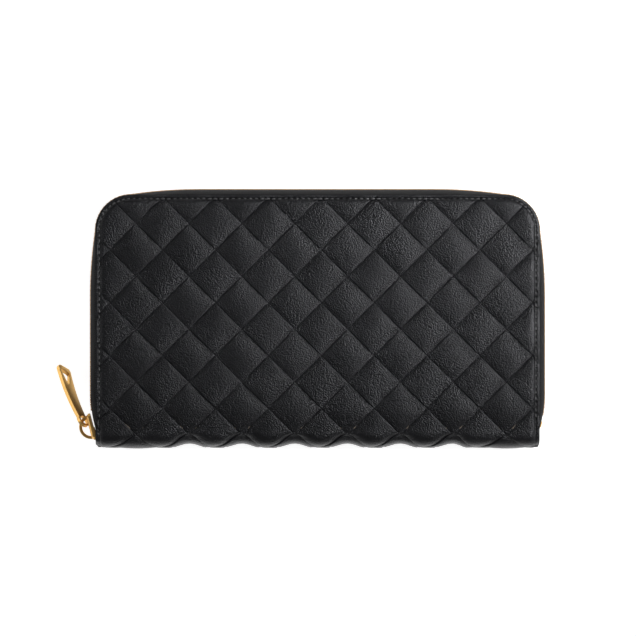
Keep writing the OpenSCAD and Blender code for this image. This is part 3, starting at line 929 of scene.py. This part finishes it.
def make_gusset(side, hand):
    """A leaf folded inwards between a cover and the coin pouch, deepest at its open end."""
    low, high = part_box("back_gusset_right")
    z_root, z_cover, z_pouch = low.z, low.z + 2 * MM, high.z - GUSSET_T
    outer_x, pouch_x = high.x - GUSSET_T / 2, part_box("coin_wall_back")[1].x
    rings = []
    for y in np.linspace(NEAR_Y + 1.2 * MM, GUSSET_TOP_Y, 24):
        share = (y - NEAR_Y) / (GUSSET_TOP_Y - NEAR_Y)
        fold = outer_x - (outer_x - GUSSET_FOLD_X) * (0.35 + 0.65 * smooth(share))
        t = np.linspace(0, 1, 21)
        bend = 1 - np.abs(2 * t - 1) ** 1.5
        x = outer_x + (pouch_x - outer_x) * t - ((outer_x + pouch_x) / 2 - fold) * bend
        z = z_cover + (z_pouch - z_cover) * (t + 0.1 * np.sin(2 * math.pi * t))
        root = [(outer_x, z_root), (outer_x, (z_root + z_cover) / 2)]
        ring = thicken(np.concatenate([root, np.stack([x, z], -1)]), GUSSET_T / 2)
        rings.append(np.stack([ring[:, 0], np.full(len(ring), y), ring[:, 1]], -1))
    verts, faces = sweep(np.array(rings))
    if hand == "left":
        verts = verts * [-1, 1, 1]
    verts = to_side(verts, side, "back")
    flip = (side == "back") != (hand == "left")
    obj = make_object(f"{side}_gusset_leaf_{hand}", verts, faces, LINING, 50, flip)
    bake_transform(obj)
    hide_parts(f"{side}_gusset_{hand}")


make_slider_crown()
for each_side in SIDES:
    make_tape(each_side)
    make_teeth(each_side)
    make_stitching(each_side)
    make_spine_lining(each_side)
    for each_hand in ("left", "right"):
        make_gusset(each_side, each_hand)

# ---- CAD nodes that keep their shape: welded, with eased edges ----

WELD = 0.001 * MM


def ease(node, material, width=0.12 * MM, segments=2):
    """Gives a CAD node its material and rounds its sharp edges to a width."""
    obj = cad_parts[node]
    obj.data.materials.clear()
    obj.data.materials.append(material)
    weld = obj.modifiers.new("weld", "WELD")
    weld.merge_threshold = WELD
    bevel = obj.modifiers.new("bevel", "BEVEL")
    bevel.width = width
    bevel.segments = segments
    bevel.limit_method = "ANGLE"
    bevel.angle_limit = math.radians(35)
    return obj


def dress_cad_nodes():
    """Materials and eased edges for all the nodes that no finer piece stands for."""
    for side in SIDES:
        ease(f"{side}_stiffener", BOARD)
        ease(f"{side}_lining", LINING, 0.1 * MM)
        ease(f"{side}_zip_stop", GOLD, 0.3 * MM, 3)
        for part in ("slip_pocket", "card_tier_top", "card_tier_middle", "card_tier_low"):
            ease(f"{side}_{part}", LINING, 0.12 * MM)
        ease(f"{side}_card_stitching", THREAD, 0.08 * MM)
        ease(f"coin_wall_{side}", LINING, 0.12 * MM)
        ease(f"coin_tape_{side}", TAPE, 0.08 * MM)
        ease(f"coin_teeth_{side}", TOOTH_GOLD, 0.1 * MM)
    ease("coin_seam_band", LINING, 0.1 * MM)
    ease("coin_zip_stop", GOLD, 0.2 * MM, 3)
    for node in ("coin_slider_body", "coin_pull_tab"):
        ease(node, GOLD, 0.2 * MM, 3)
    for node in ("zip_slider_body", "zip_pull_tab"):
        ease(node, GOLD, 0.28 * MM, 3)
    ease("zip_slider_bridge", GOLD, 0.3 * MM, 4)
    ease("coin_slider_bridge", GOLD, 0.3 * MM, 4)


dress_cad_nodes()

# ---- Camera, light and floor ----

VIEW_W = 267 * MM
VIEW_CENTRE = (0.2 * MM, 1.6 * MM)
CAMERA_HEIGHT = 2.4
FLOOR_HALF = 4
# Each light's place, the point that it faces, its side in metres, its power and its spread
KEY = ((0.38, 0.08, 0.43), (0.01, 0.07, 0), 0.22, 0.38, 44)
FILL = ((-0.45, 0, 0.16), (-0.1, -0.03, 0), 0.2, 0.3, 180)


def make_camera():
    """Looks straight down from high up, with VIEW_W across the picture at the cover's height."""
    data = bpy.data.cameras.new("camera")
    data.lens = data.sensor_width * CAMERA_HEIGHT / VIEW_W
    data.clip_end = 20
    camera = bpy.data.objects.new("camera", data)
    camera.location = (*VIEW_CENTRE, CAMERA_HEIGHT + DEPTH)
    bpy.context.scene.collection.objects.link(camera)
    bpy.context.scene.camera = camera


def area_light(name, place, target, size, power, spread):
    """A square light that faces a target, with its spread in degrees."""
    data = bpy.data.lights.new(name, "AREA")
    data.size = size
    data.energy = power
    data.spread = math.radians(spread)
    light = bpy.data.objects.new(name, data)
    light.location = place
    light.rotation_euler = (Vector(target) - Vector(place)).to_track_quat("-Z", "Y").to_euler()
    bpy.context.scene.collection.objects.link(light)


def make_stage():
    """A white floor, a dim white world and the two lights."""
    mesh = bpy.data.meshes.new("floor")
    ways = ((-1, -1), (1, -1), (1, 1), (-1, 1))
    corners = [(x * FLOOR_HALF, y * FLOOR_HALF, 0) for x, y in ways]
    mesh.from_pydata(corners, [], [(0, 1, 2, 3)])
    floor = bpy.data.objects.new("floor", mesh)
    bpy.context.scene.collection.objects.link(floor)
    material, _, shader = new_material("floor_white")
    shader.inputs["Base Color"].default_value = (0.5, 0.5, 0.5, 1)
    shader.inputs["Emission Color"].default_value = (1, 1, 1, 1)
    shader.inputs["Emission Strength"].default_value = 0.92
    shader.inputs["Roughness"].default_value = 1.0
    shader.inputs["Specular IOR Level"].default_value = 0.0
    mesh.materials.append(material)
    world = bpy.data.worlds.new("studio")
    bpy.context.scene.world = world
    world.use_nodes = True
    background = world.node_tree.nodes["Background"]
    background.inputs["Color"].default_value = (1, 1, 1, 1)
    background.inputs["Strength"].default_value = 0.15
    area_light("key", *KEY)
    area_light("fill", *FILL)


make_camera()
make_stage()
bpy.context.scene.view_settings.view_transform = "Standard"
